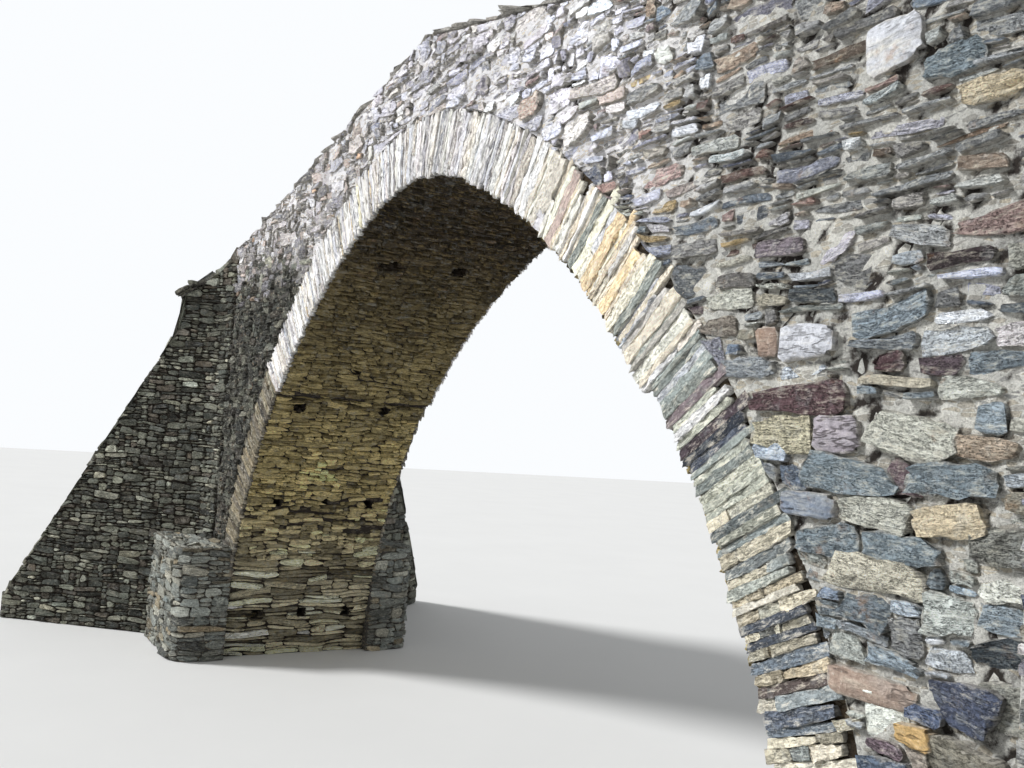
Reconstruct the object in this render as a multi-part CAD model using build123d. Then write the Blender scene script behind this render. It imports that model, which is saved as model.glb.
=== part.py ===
# A narrow stone arch bridge of thin slabs, as mountain valleys have for mules and walkers.
# X runs along the road, Y across it and Z up. The origin is on the ground line, under the
# middle of the arch. All lengths are in millimetres and all angles in degrees.
from build123d import *
from math import asin, cos, degrees, radians, sin, sqrt, tan
import os

# Arch: two flank arcs and a tighter crown arc, which meet with one tangent.
half_span = 6000          # at the level of the flank centres
flank_radius = 7700
crown_radius = 3170
centre_drop = 600         # flank centres lie this far under the ground line
ring_depth = 670          # radial height of the arch slabs
step_angle = 40           # radial joint where the upper vault oversails the feet
step_recess = 80          # the feet stand back from the upper vault

# Width of the bridge.
bridge_width = 2500
wall_width = 300          # ring, spandrel and parapet

# Road and walls above the arch.
crown_cover = 210         # rubble between the arch and the paving at the crown
road_slope = 12.3         # down to both banks
paving_depth = 150
crest_half_length = 450   # row of larger slabs over the crown
parapet_height = 620
coping_depth = 80
coping_overhang = 30

# Abutments.
wing_setback = 330        # from the springing of the arch to the wing wall
approach_length = 1600    # from the start of the wing to the end of the bridge
abutment_height = 4350

# Splayed wing walls, whose tops fall with the bank.
wing_splay = 50           # away from the road's line
wing_cove_radius = 900
wing_lip = 40             # thickness at the thin start of the cove
wing_length = 3400        # straight part
wing_width = 650
wing_head_length = 1170   # from the corner to the drop behind the head
wing_head_fall = 850      # from the parapet's top to the end of the head
wing_drop = 550
wing_end_height = 350

# Footings in the corners between the arch and its wings.
footing_proud = 150       # into the river, past the springing
footing_length = 2050
footing_reach = 800
footing_height = 1800
footing_radius = 250

# Sockets that the builders' timber centring left in the soffit.
socket_size = 150
front_socket_margin = 125  # vault between the front ring and the first socket
back_socket_margin = 25
low_socket_height = 700
high_socket_height = 2620

# Worked-out values.
face_y = bridge_width / 2
inner_y = face_y - wall_width
corner_x = half_span + ring_depth + wing_setback
end_x = corner_x + approach_length
flank_centre_x = flank_radius - half_span
crown_centre_z = sqrt((flank_radius - crown_radius) ** 2 - flank_centre_x ** 2) - centre_drop
tangent_angle = degrees(asin((crown_centre_z + centre_drop) / (flank_radius - crown_radius)))
road_crest = crown_centre_z + crown_radius + ring_depth + crown_cover + paving_depth
slope_ratio = tan(radians(road_slope))
far = 2 * end_x           # comfortably outside everything


def under_curve(offset):
    """Face between the ground line and the arch curve, moved outwards by an offset."""
    flank = flank_radius + offset
    crown = crown_radius + offset
    start_angle = degrees(asin(centre_drop / flank))
    middle_angle = (start_angle + tangent_angle) / 2

    def on_flank(angle, side):
        x = flank * cos(radians(angle)) - flank_centre_x
        return (side * x, flank * sin(radians(angle)) - centre_drop)

    with BuildSketch(Plane.XZ) as sketch:
        with BuildLine():
            Line(on_flank(start_angle, -1), on_flank(start_angle, 1))
            ThreePointArc(*[on_flank(a, 1) for a in (start_angle, middle_angle, tangent_angle)])
            ThreePointArc(on_flank(tangent_angle, 1), (0, crown_centre_z + crown),
                          on_flank(tangent_angle, -1))
            ThreePointArc(*[on_flank(a, -1) for a in (tangent_angle, middle_angle, start_angle)])
        make_face()
    return sketch.sketch


def outline(*points):
    """Flat face in the plane of the bridge's side, from (x, z) points."""
    return Plane.XZ * make_face(Polyline(*points, close=True))


def rectangle(low_x, high_x, low_z, high_z):
    return outline((low_x, low_z), (high_x, low_z), (high_x, high_z), (low_x, high_z))


def across(face, low_y, high_y):
    """Solid of a side-view face, from one distance across the road to another."""
    return Pos(0, high_y, 0) * extrude(face, amount=high_y - low_y, dir=(0, -1, 0))


def road_line(x, rise=0):
    """Height of the road, or of a line parallel to it, at a distance from the crest."""
    return road_crest + rise - abs(x) * slope_ratio


def band(inner_x, outer_x, low_rise, high_rise):
    """Sloping band beside the road line on the right-hand side of the bridge."""
    return outline((inner_x, road_line(inner_x, low_rise)), (outer_x, road_line(outer_x, low_rise)),
                   (outer_x, road_line(outer_x, high_rise)), (inner_x, road_line(inner_x, high_rise)))


def to_left(solid):
    return mirror(solid, about=Plane.YZ)


def to_back(solid):
    return mirror(solid, about=Plane.XZ)


# Arch zones. The upper zone lies above both radial joints.
joint_slope = tan(radians(step_angle))
joint_cross_z = flank_centre_x * joint_slope - centre_drop
upper_zone = outline((0, joint_cross_z), (far, joint_cross_z + far * joint_slope),
                     (-far, joint_cross_z + far * joint_slope))
under_ring = under_curve(ring_depth)
upper_arch = (under_ring - under_curve(0)) & upper_zone
right_foot = (under_ring - under_curve(step_recess)) & rectangle(0, far, 0, far) - upper_zone


def foot_course(low_z, high_z, spans):
    """Blocks of the vault's foot between two levels, one for each (low y, high y) span."""
    course = right_foot & rectangle(0, far, low_z, high_z)
    blocks = [across(course, low_y, high_y) for low_y, high_y in spans]
    return blocks[0] if len(blocks) == 1 else Compound(blocks)


def socket_row(height):
    """Course with three open sockets: the blocks that stand beside and between them."""
    half = socket_size / 2
    first = front_socket_margin + half - inner_y
    last = inner_y - back_socket_margin - half
    edges = [-inner_y]
    for middle in (first, (first + last) / 2, last):
        edges += [middle - half, middle + half]
    edges.append(inner_y)
    return foot_course(height - half, height + half, list(zip(edges[0::2], edges[1::2])))


def plain_course(low_z, high_z):
    return foot_course(low_z, high_z, [(-inner_y, inner_y)])


# Masonry beside and above the arch, on the right-hand side.
def abutment():
    block = rectangle(0, end_x, 0, abutment_height)
    return across(block - under_ring, -face_y, face_y)


def wall_above(top_rise):
    """Side-view face from the abutment and the arch up to a line parallel to the road."""
    wall = outline((0, abutment_height), (end_x, abutment_height), (end_x, road_line(end_x, top_rise)),
                   (0, road_line(0, top_rise)))
    return wall - under_ring


def spandrel():
    return across(wall_above(0), -face_y, -inner_y)


def fill():
    return across(wall_above(-paving_depth), -inner_y, inner_y)


def paving():
    return across(band(crest_half_length, end_x, -paving_depth, 0), -inner_y, inner_y)


def crest_paving():
    slabs = across(band(0, crest_half_length, -paving_depth, 0), -inner_y, inner_y)
    return slabs + to_left(slabs)


def parapet():
    return across(band(0, end_x, 0, parapet_height), -face_y, -inner_y)


def coping():
    slab = band(0, end_x, parapet_height, parapet_height + coping_depth)
    return across(slab, -face_y - coping_overhang, -inner_y + coping_overhang)


# Wing wall and footing at the right-hand corner of the front.
wing_along = Vector(cos(radians(wing_splay)), -sin(radians(wing_splay)))
wing_behind = Vector(sin(radians(wing_splay)), cos(radians(wing_splay)))
wing_corner = Vector(corner_x, -face_y)
cove = JernArc(start=wing_corner - Vector(0, wing_lip), tangent=(1, 0), radius=wing_cove_radius,
               arc_size=-wing_splay)
wing_front_end = (cove @ 1) + wing_along * wing_length


def wing_plan():
    """Seen from above: a cove out of the bridge's face, then a straight splayed wall."""
    back_end = wing_front_end + wing_behind * wing_width
    back_start = back_end - wing_along * (wing_length + wing_cove_radius + wing_width)
    edge = Polyline(cove @ 1, wing_front_end, back_end, back_start, (corner_x, 0), cove @ 0)
    return make_face([cove, edge]) - Rectangle(far, bridge_width)


def wing():
    """The plan raised to the broken line of the wall's top."""
    side = Plane(origin=wing_corner, x_dir=wing_along, z_dir=-wing_behind)
    end = (wing_front_end - wing_corner).dot(wing_along)
    parapet_top = road_line(corner_x, parapet_height)
    head_end = parapet_top - wing_head_fall
    start = -wing_width
    top = Polyline((start, 0), (end, 0), (end, wing_end_height),
                   (wing_head_length, head_end - wing_drop), (wing_head_length, head_end),
                   (0, parapet_top), (start, parapet_top), close=True)
    return extrude(wing_plan(), road_crest) & extrude(side * make_face(top), far, both=True)


def footing():
    inner_x = half_span - footing_proud
    block = Pos(inner_x + footing_length / 2, -face_y - footing_reach / 2)
    block = block * Rectangle(footing_length, footing_reach) - wing_plan()
    outer = block.vertices().sort_by_distance((inner_x, -face_y - footing_reach))[0]
    return extrude(fillet(outer, footing_radius), footing_height)


def write(name, solid):
    solid.label = name
    export_step(solid, f"parts/{name}.step")


def write_pair(name, solid, side=""):
    write(f"{side}right_{name}", solid)
    write(f"{side}left_{name}", to_left(solid))


def write_four(name, solid):
    write_pair(name, solid, "front_")
    write_pair(name, to_back(solid), "back_")


os.makedirs("parts", exist_ok=True)

front_ring = across(upper_arch, -face_y, -inner_y)
write("front_arch_ring", front_ring)
write("back_arch_ring", to_back(front_ring))
write_four("ring_foot", across(right_foot, -face_y, -inner_y))

half_socket = socket_size / 2
write("vault", across(upper_arch, -inner_y, inner_y))
write_pair("vault_base", plain_course(0, low_socket_height - half_socket))
write_pair("low_socket_row", socket_row(low_socket_height))
write_pair("vault_flank", plain_course(low_socket_height + half_socket, high_socket_height - half_socket))
write_pair("high_socket_row", socket_row(high_socket_height))
write_pair("vault_haunch", plain_course(high_socket_height + half_socket, far))

write_pair("abutment", abutment())
write_four("spandrel", spandrel())
write_pair("fill", fill())
write_pair("paving", paving())
write("crest_paving", crest_paving())
write_four("parapet", parapet())
write_four("coping", coping())
write_four("wing", wing())
write_four("footing", footing())
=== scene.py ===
# %% [markdown]
# # A stone arch bridge of riven slabs
# The solids already give this mountain bridge its arch, walls, wings and road. What they lack is
# the masonry: some thousands of slabs and stones, each bedded a little differently. Here every
# stone is a real shape. A few stones are modelled, then laid over the solids by rules a
# mason would know, and joined into one mesh for each wall.

# %% Load the solids
import math

import bpy
import numpy as np
from mathutils import Matrix, Vector


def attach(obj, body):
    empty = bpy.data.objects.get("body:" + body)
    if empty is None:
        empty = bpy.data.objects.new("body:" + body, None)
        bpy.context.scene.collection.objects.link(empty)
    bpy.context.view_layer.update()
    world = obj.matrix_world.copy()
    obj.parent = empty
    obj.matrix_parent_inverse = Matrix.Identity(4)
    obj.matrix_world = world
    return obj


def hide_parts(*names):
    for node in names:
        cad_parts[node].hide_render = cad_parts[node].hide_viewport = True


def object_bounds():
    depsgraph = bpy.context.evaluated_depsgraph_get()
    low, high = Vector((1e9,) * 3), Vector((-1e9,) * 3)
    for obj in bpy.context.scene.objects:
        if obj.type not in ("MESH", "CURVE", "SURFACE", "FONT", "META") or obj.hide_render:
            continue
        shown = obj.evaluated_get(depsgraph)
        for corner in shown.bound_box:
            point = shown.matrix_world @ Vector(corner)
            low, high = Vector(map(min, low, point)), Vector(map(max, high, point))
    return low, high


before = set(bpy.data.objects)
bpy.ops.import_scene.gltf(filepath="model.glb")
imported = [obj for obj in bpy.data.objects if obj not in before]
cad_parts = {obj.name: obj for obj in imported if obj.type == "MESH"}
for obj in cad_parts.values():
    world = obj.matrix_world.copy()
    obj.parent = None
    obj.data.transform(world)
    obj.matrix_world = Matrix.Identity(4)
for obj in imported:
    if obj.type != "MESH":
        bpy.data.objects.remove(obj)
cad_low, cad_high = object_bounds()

print("solids:", len(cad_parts), "size:", [round(v, 3) for v in cad_high - cad_low])

# %% [markdown]
# ## Sizes of the bridge
# The stones have to follow the same curves as the solids, so the bridge's main sizes are repeated
# here in metres. X runs along the road, Y across it, Z up, and the origin is on the ground line
# under the middle of the arch.

# %% Sizes
FLANK_RADIUS = 7.7
FLANK_X = 1.7              # the flank centres stand this far beyond the middle
CENTRE_DROP = 0.6          # and this far under the ground
CROWN_RADIUS = 3.17
CROWN_Z = math.sqrt((FLANK_RADIUS - CROWN_RADIUS) ** 2 - FLANK_X ** 2) - CENTRE_DROP
TURN = math.atan2(FLANK_X, CROWN_Z + CENTRE_DROP)      # from the crown to where the arcs meet
RING = 0.67
STEP = math.radians(50)    # from the crown to the ledge
RECESS = 0.08
FACE = 1.25                # half the width of the bridge
INNER = 0.95               # inside of ring, wall and parapet
ROAD_TOP = 7.7993
SLOPE = math.tan(math.radians(12.3))
PARAPET = 0.62
CORNER = 7.0               # where the wings start
END = 8.6
SOCKET_ROWS = (0.70, 2.62)
SOCKET_PLACES = (-0.75, 0.05, 0.85)
CROWN_ARC = CROWN_RADIUS * TURN
FOOT_ARC = CROWN_ARC + FLANK_RADIUS * (math.acos(CENTRE_DROP / FLANK_RADIUS) - TURN)
STEP_ARC = CROWN_ARC + FLANK_RADIUS * (STEP - TURN)
print("crown centre", round(CROWN_Z, 4), "half arc", round(FOOT_ARC, 3))
print("ledge at", round(STEP_ARC, 3))

# %% [markdown]
# ## Camera
# The view is from close to the wall, near its right end, looking up and to the left, with the
# horizon leaning a little. The lens and the place come from matching the arch's curves.

# %% Camera
SENSOR = 36
PICTURE_WIDTH = 1024
FOCAL_PIXELS = 919.05


def place_object(name, data):
    made = bpy.data.objects.new(name, data)
    bpy.context.scene.collection.objects.link(made)
    return made


yaw, pitch, roll = math.radians(57.85), math.radians(3.44), math.radians(4.29)
forward = Vector((-math.sin(yaw) * math.cos(pitch), math.cos(yaw) * math.cos(pitch),
                  math.sin(pitch)))
right = Vector((math.cos(yaw), math.sin(yaw), 0))
above = right.cross(forward)
camera_data = bpy.data.cameras.new("view")
camera_data.sensor_width = SENSOR
camera_data.lens = SENSOR * FOCAL_PIXELS / PICTURE_WIDTH
camera_data.clip_end = 300
camera = place_object("view", camera_data)
turned_right = math.cos(roll) * right + math.sin(roll) * above
turned_up = math.cos(roll) * above - math.sin(roll) * right
camera.matrix_world = Matrix.Translation((9.35, -5.66, 3.92)) @ Matrix(
    (turned_right, turned_up, -forward)).transposed().to_4x4()
bpy.context.scene.camera = camera
print("lens", round(camera_data.lens, 2))

# %% [markdown]
# ## Shader sums
# A finish is easier to read as a sum than as a web of nodes. This small class wraps a socket, so
# that a + b or 1 - a adds the Math node, and one method makes every other node.

# %% Shader sums
class Reading:
    """A number or colour that runs through a finish."""

    def __init__(self, finish, socket):
        self.finish = finish
        self.socket = socket

    def sum(self, operation, *terms):
        inputs = dict(enumerate(terms))
        return self.finish.node("Math", {"operation": operation}, inputs)

    def __add__(self, other):
        return self.sum("ADD", self, other)

    def __sub__(self, other):
        return self.sum("SUBTRACT", self, other)

    def __mul__(self, other):
        return self.sum("MULTIPLY", self, other)

    def __rsub__(self, other):
        return self.sum("SUBTRACT", other, self)

    __radd__ = __add__
    __rmul__ = __mul__

    def size(self):
        return self.sum("ABSOLUTE", self)

    def step(self, low, high):
        """0 under low, 1 over high, with a soft change between them."""
        settings = {"interpolation_type": "SMOOTHSTEP"}
        return self.finish.node("MapRange", settings, {0: self, 1: low, 2: high})


class Finish:
    """One material, the nodes in it and its shader."""

    def __init__(self, name, roughness=0.9):
        self.material = bpy.data.materials.new(name)
        self.material.use_nodes = True
        self.tree = self.material.node_tree
        self.shader = self.tree.nodes["Principled BSDF"]
        self.shader.inputs["Roughness"].default_value = roughness
        self.shader.inputs["Specular IOR Level"].default_value = 0.3

    def node(self, kind, settings=None, inputs=None, output=0):
        node = self.tree.nodes.new("ShaderNode" + kind)
        for name, value in (settings or {}).items():
            setattr(node, name, value)
        for key, value in (inputs or {}).items():
            if isinstance(value, Reading):
                self.tree.links.new(value.socket, node.inputs[key])
            else:
                node.inputs[key].default_value = value
        return Reading(self, node.outputs[output])

    def noise(self, place, scale, detail=3, rough=0.6):
        inputs = {"Vector": place, "Scale": scale, "Detail": detail, "Roughness": rough}
        return self.node("TexNoise", {}, inputs)

    def stretched(self, place, by):
        return self.node("VectorMath", {"operation": "MULTIPLY"}, {0: place, 1: by})

    def mix(self, share, first, second, blend="MIX"):
        settings = {"data_type": "RGBA", "blend_type": blend}
        return self.node("Mix", settings, {0: share, 6: first, 7: second}, 2)

    def over(self, share, colour, seen):
        """A plain colour, given as it is seen, laid over another by a share."""
        return self.mix(share, colour, plain(seen))

    def axis(self, place, k):
        return self.node("SeparateXYZ", {}, {0: place}, k)

    def kept(self, name, output):
        """A reading that is kept in the mesh."""
        return self.node("Attribute", {"attribute_name": name}, {}, output)

    def grey(self, value):
        return self.node("CombineColor", {}, {0: value, 1: value, 2: value})

    def bumped(self, height, depth, under=None):
        inputs = {"Height": height, "Distance": depth, "Strength": 1.0}
        if under:
            inputs["Normal"] = under
        return self.node("Bump", {}, inputs)

    def feed(self, **readings):
        for name, reading in readings.items():
            self.tree.links.new(reading.socket, self.shader.inputs[name.replace("_", " ")])
        return self.material


def tone(red, green, blue):
    """A colour as seen, turned to the linear values that shaders use."""
    return tuple((c / 255 / 12.92) if c < 11 else ((c / 255 + 0.055) / 1.055) ** 2.4
                 for c in (red, green, blue))


def plain(seen):
    return (*tone(*seen), 1)


print("shader sums ready")

# %% [markdown]
# ## Floor and light
# A plain pale floor and a soft sky keep the light simple. One broad lamp from high at the front
# left gives each stone a short soft shadow, which is what makes masonry read.

# %% Floor and light
bpy.ops.object.select_all(action="DESELECT")
bpy.ops.mesh.primitive_grid_add(x_subdivisions=4, y_subdivisions=4, size=160,
                                location=(0, 0, -0.002))
floor = bpy.context.active_object
floor.name = "floor"
floor_finish = Finish("pale_floor", 0.95)
place = floor_finish.node("TexCoord", {}, {}, "Object")
drift = floor_finish.noise(place, 0.4)
floor.data.materials.append(floor_finish.feed(
    Base_Color=floor_finish.mix(drift, (0.69, 0.69, 0.68, 1), (0.74, 0.74, 0.73, 1))))

sun_data = bpy.data.lights.new("sun", "SUN")
sun_data.energy = 3.6
sun_data.angle = math.radians(12)
sun = place_object("sun", sun_data)
sun.rotation_euler = Vector((-0.40, -0.70, 0.60)).to_track_quat("Z", "Y").to_euler()

world = bpy.data.worlds.new("sky")
bpy.context.scene.world = world
world.use_nodes = True
sky = world.node_tree
ray = sky.nodes.new("ShaderNodeLightPath")
seen = sky.nodes.new("ShaderNodeMath")
seen.operation = "MAXIMUM"
sky.links.new(ray.outputs["Is Camera Ray"], seen.inputs[0])
sky.links.new(ray.outputs["Is Glossy Ray"], seen.inputs[1])
glow = sky.nodes.new("ShaderNodeMapRange")
sky.links.new(seen.outputs[0], glow.inputs[0])
glow.inputs["To Min"].default_value = 0.47
glow.inputs["To Max"].default_value = 1.0
backdrop = sky.nodes["Background"]
backdrop.inputs["Color"].default_value = (0.96, 0.98, 1.0, 1)
sky.links.new(glow.outputs[0], backdrop.inputs["Strength"])
bpy.context.scene.view_settings.view_transform = "Standard"
print("floor, lamp and sky made")

# %% [markdown]
# ## Model stones
# Riven schist breaks into flat-faced blocks with worn rims. Each model starts as a small grid. Its
# inner points stand out as the face, the rim falls back, and its edge is pulled in as a skirt that
# sinks into the mortar. The back is left off, because it is never seen. Big stones get more
# points than small ones, so the thousands of small ones stay light.

# %% Model stones
def pick(piece, test):
    """Selects a piece's points by their place, ready for an edit."""
    bpy.ops.object.mode_set(mode="EDIT")
    bpy.ops.mesh.select_mode(type="VERT")
    bpy.ops.mesh.select_all(action="DESELECT")
    bpy.ops.object.mode_set(mode="OBJECT")
    for vertex in piece.data.vertices:
        vertex.select = test(vertex.co)
    bpy.ops.object.mode_set(mode="EDIT")


def select_only(piece):
    bpy.ops.object.select_all(action="DESELECT")
    piece.select_set(True)
    bpy.context.view_layer.objects.active = piece


def edit_all():
    bpy.ops.object.mode_set(mode="EDIT")
    bpy.ops.mesh.select_all(action="SELECT")


def as_arrays(piece):
    """The points and four-sided faces of a model, which is then put away."""
    bpy.ops.object.mode_set(mode="OBJECT")
    mesh = piece.data
    points = np.array([v.co for v in mesh.vertices])
    quads = np.array([f.vertices for f in mesh.polygons])
    bpy.data.objects.remove(piece)
    return points, quads


def model_stone(columns, rows, rim, shake, corner, seed, rise=0.22, skirt=1.3):
    """A stone whose face stands out by rise from its rim, with a skirt all round."""
    bpy.ops.object.select_all(action="DESELECT")
    bpy.ops.mesh.primitive_grid_add(x_subdivisions=columns, y_subdivisions=rows, size=2)
    stone = bpy.context.active_object
    pick(stone, lambda p: abs(p.x) < 0.99 and abs(p.y) < 0.99)
    bpy.ops.transform.translate(value=(0, 0, rise))
    wide = (1 - rim) / (1 - 2 / columns)
    tall = (1 - 1.4 * rim) / (1 - 2 / rows) if rows > 2 else 1
    bpy.ops.transform.resize(value=(wide, tall, 1), center_override=(0, 0, rise))
    bpy.ops.transform.vertex_random(offset=shake, uniform=1, normal=0, seed=seed)
    bpy.ops.mesh.select_all(action="SELECT")
    bpy.ops.transform.translate(value=(0, 0, 1 - rise))
    bpy.ops.mesh.region_to_loop()
    bpy.ops.mesh.extrude_edges_move(TRANSFORM_OT_translate={"value": (0, 0, -skirt)})
    pick(stone, lambda p: abs(p.x) > 0.99 and abs(p.y) > 0.99)
    bpy.ops.transform.resize(value=(1 - corner, 1 - corner, 1), center_override=(0, 0, 0))
    bpy.ops.mesh.select_all(action="SELECT")
    bpy.ops.mesh.normals_make_consistent(inside=False)
    points, quads = as_arrays(stone)
    rim_reading = np.clip((0.97 - points[:, 2]) / 0.35, 0, 1)
    return {"points": points, "quads": quads, "rim": rim_reading}


BIG = [model_stone(7, 5, 0.06, 0.08, 0.16, 1), model_stone(7, 5, 0.09, 0.11, 0.28, 2),
       model_stone(7, 4, 0.06, 0.09, 0.10, 3)]
COBBLES = [model_stone(8, 6, 0.13, 0.04, 0.30, 11)]
MIDDLE = [model_stone(5, 3, 0.06, 0.08, 0.10, 4), model_stone(5, 3, 0.10, 0.11, 0.22, 5),
          model_stone(4, 3, 0.08, 0.10, 0.08, 6)]
SMALL = [model_stone(4, 2, 0.08, 0.10, 0.12, 7), model_stone(3, 2, 0.10, 0.10, 0.20, 8)]
LONG = [model_stone(9, 3, 0.03, 0.05, 0.03, 9), model_stone(9, 3, 0.04, 0.08, 0.05, 10)]
for name, models in (("big", BIG), ("middle", MIDDLE), ("small", SMALL), ("long", LONG)):
    print(name, [len(m["quads"]) for m in models], "faces")

# %% [markdown]
# ## Building up a wall
# A mason sets the next stone on the lowest place of the wall and levels up with its neighbours
# where that is close. The same rule gives a natural bond here, with no joint running far.

# %% Building up a wall
SHORTEST = 0.45            # share of a stone that may stand alone beside it
SAME_LEVEL = 0.012


def build_up(random, low_s, high_s, low_t, high_t, size_at):
    """Cells (left, right, bottom, top) of stones laid from the ground up."""
    line = [[low_s, high_s, low_t]]
    cells = []
    while True:
        k = min(range(len(line)), key=lambda i: line[i][2])
        start, end, base = line[k]
        if base >= high_t:
            return np.array(cells)
        room = end - start
        tall, long = size_at(random, (start + end) / 2 if room < 1 else start, base)
        if room - long < SHORTEST * long:
            long = room
        beside = [line[i][2] for i in (k - 1, k + 1) if 0 <= i < len(line)]
        if long == room:
            lift = min(beside, default=base) - base
            if SHORTEST * tall < lift < 1.9 * tall:
                tall = lift
            tall = min(tall, 1.3 * long)
            line[k][2] = base + tall
            cells.append((start, end, base, base + tall))
        elif random.random() < 0.5:
            line[k][0] = start + long
            line.insert(k, [start, start + long, base + tall])
            cells.append((start, start + long, base, base + tall))
        else:
            line[k][1] = end - long
            line.insert(k + 1, [end - long, end, base + tall])
            cells.append((end - long, end, base, base + tall))
        merged = [line[0]]
        for part in line[1:]:
            if abs(part[2] - merged[-1][2]) < SAME_LEVEL:
                merged[-1][1] = part[1]
                merged[-1][2] = max(part[2], merged[-1][2])
            else:
                merged.append(part)
        line = merged


def swell(a, b, seed, size):
    """Smooth uneven change between about -1 and 1 over two distances."""
    random = np.random.default_rng(seed)
    total = 0
    for k in range(5):
        angle = random.uniform(0, math.tau)
        wave = math.tau / (size * random.uniform(0.6, 1.5))
        along = a * math.cos(angle) + b * math.sin(angle)
        total = total + np.sin(wave * along + random.uniform(0, math.tau))
    return total / 3.2


print("building rules ready")

# %% [markdown]
# ## Laying stones on a surface
# A wall, a wing or the underside of the arch is unrolled to two distances, s along and t up, and
# a third one, out of the surface. Stones are set in the unrolled wall, where the joints are easy,
# and then carried to their place on the bridge. Each stone keeps three readings for its finish:
# its tint, how near a point is to the worn rim, which also sets painted shade at the foot of its
# skirt, and its own grain, which runs along the bedding.

# %% Laying stones on a surface
class Wall:
    """Gathers laid stones and mortar into one piece."""

    def __init__(self, name, seed, turned=False):
        self.name = name
        self.turned = turned
        self.random = np.random.default_rng(seed)
        self.points = []
        self.quads = []
        self.tints = []
        self.rims = []
        self.grains = []
        self.count = 0

    def add(self, points, quads, tints, rims, grains):
        self.points.append(points.reshape(-1, 3).clip(cad_low, cad_high))
        quads = quads.reshape(-1, 4) + self.count
        self.quads.append(quads[:, ::-1] if self.turned else quads)
        self.tints.append(tints.reshape(-1, 3))
        self.rims.append(rims.reshape(-1))
        self.grains.append(grains.reshape(-1, 3))
        self.count += len(self.points[-1])

    def lay(self, models, cells, surface, tints, proud, joint, region=None, tilt=0.02,
            upright=False, turn=0.06, wave=0.012, least=0.0007, lean=0.32, skew=0.2, veins=1.0,
            omit=None, rough=1.0):
        """Sets one stone in each cell, of a model picked by chance."""
        random = self.random
        choice = random.integers(0, len(models), len(cells))
        for k, model in enumerate(models):
            cell, tint = cells[choice == k], tints[choice == k]
            if not len(cell):
                continue
            n = len(cell)
            u, v, w = model["points"].T
            shape = (n, len(u))
            if upright:
                u, v = -v, u
            half_s, half_t = (np.maximum((cell[:, i + 1] - cell[:, i] - joint)[:, None] / 2, 0.006)
                              for i in (0, 2))
            short = np.minimum(half_s, half_t)
            lens = 1 - random.uniform(0, lean, (n, 1)) * (v if upright else u) ** 2
            wedge = random.normal(0, skew, (2, n, 1)) * u * v * short
            s = half_s * u * (lens if upright else 1) + wedge[0]
            t = half_t * v * (1 if upright else lens) + wedge[1]
            t = t + random.normal(0, 0.10, (n, 1)) * short * (u * u - 0.5)
            s = s + random.normal(0, 0.11 * rough, shape) * short
            t = t + random.normal(0, 0.09 * rough, shape) * short
            angle = random.normal(0, turn, (n, 1)) * np.minimum(1, half_t / half_s * 4)
            along, up = (t, s) if upright else (s, t)
            grain = np.stack([along * veins + random.uniform(0, 50, (n, 1)),
                              up * veins + random.uniform(0, 50, (n, 1)),
                              random.uniform(0, 50, (n, 1)) + 0 * s], -1)
            middle_s, middle_t = ((cell[:, i:i + 1] + cell[:, i + 1:i + 2]) / 2 for i in (0, 2))
            s, t = (middle_s + s * np.cos(angle) - t * np.sin(angle),
                    middle_t + t * np.cos(angle) + s * np.sin(angle))
            s = s + wave * swell(s, t, 11, 0.5)
            t = t + 2 * wave * swell(s, t, 12, 0.9)
            stands = random.uniform(proud[0], proud[1], (n, 1))
            out = w * stands * np.where(w > 0.5, 1 + random.normal(0, 0.17 * rough, shape), 1)
            slant = random.normal(0, tilt, (n, 1)) * u + random.normal(0, tilt, (n, 1)) * v
            out = out + np.where(w > 0.3, slant * np.minimum(short * 6, 1), 0)
            keep = np.ones(n, bool)
            if region:
                before = covered(s, t, model["quads"])
                s, t = region(s, t)
                after = covered(s, t, model["quads"])
                keep = (after > least) & (after > 0.2 * before)
            quads = model["quads"][None] + np.arange(keep.sum())[:, None, None] * len(u)
            if omit:
                quads = quads[~omit(*(a[keep][:, model["quads"]].mean(-1) for a in (s, t)))]
            self.add(surface(s, t, out)[keep], quads,
                     np.broadcast_to(tint[:, None], (*shape, 3))[keep],
                     np.broadcast_to(model["rim"], shape)[keep], grain[keep])

    def bed(self, low_s, high_s, low_t, high_t, step, surface, level, tint, region):
        """Rough mortar between the stones, as a sheet of small facets."""
        columns = max(2, round((high_s - low_s) / step) + 1)
        rows = max(2, round((high_t - low_t) / step) + 1)
        s, t = np.meshgrid(np.linspace(low_s, high_s, columns), np.linspace(low_t, high_t, rows))
        s = s + self.random.uniform(-0.25, 0.25, s.shape) * step
        t = t + self.random.uniform(-0.25, 0.25, s.shape) * step
        s, t = np.clip(s, low_s, high_s), np.clip(t, low_t, high_t)
        first_s, first_t = s, t
        s, t = region(s, t)
        far = np.hypot(s - first_s, t - first_t).reshape(-1) > 1.05 * step
        index = np.arange(s.size).reshape(s.shape)
        corners = [index[:-1, :-1], index[:-1, 1:], index[1:, 1:], index[1:, :-1]]
        quads = np.stack(corners, -1).reshape(-1, 4)
        s, t = s.reshape(-1), t.reshape(-1)
        area = quad_areas(s[quads], t[quads]) / 2
        quads = quads[(area > 0.08 * step * step) & ~far[quads].any(-1)]
        out = level(s, t) + self.random.normal(0, 0.0035, s.shape)
        used = np.unique(quads)
        renumber = np.zeros(len(s), int)
        renumber[used] = np.arange(len(used))
        grain = np.stack([s, t, 0 * s], -1)[used]
        # How deep the mortar lies; the finish paints the deep parts darker, as shade.
        depth = 2 + (0.022 - out[used]).clip(0, 0.03) / 0.022
        self.add(surface(s, t, out)[used], renumber[quads], np.tile(tint, (len(used), 1)), depth,
                 grain)

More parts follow.
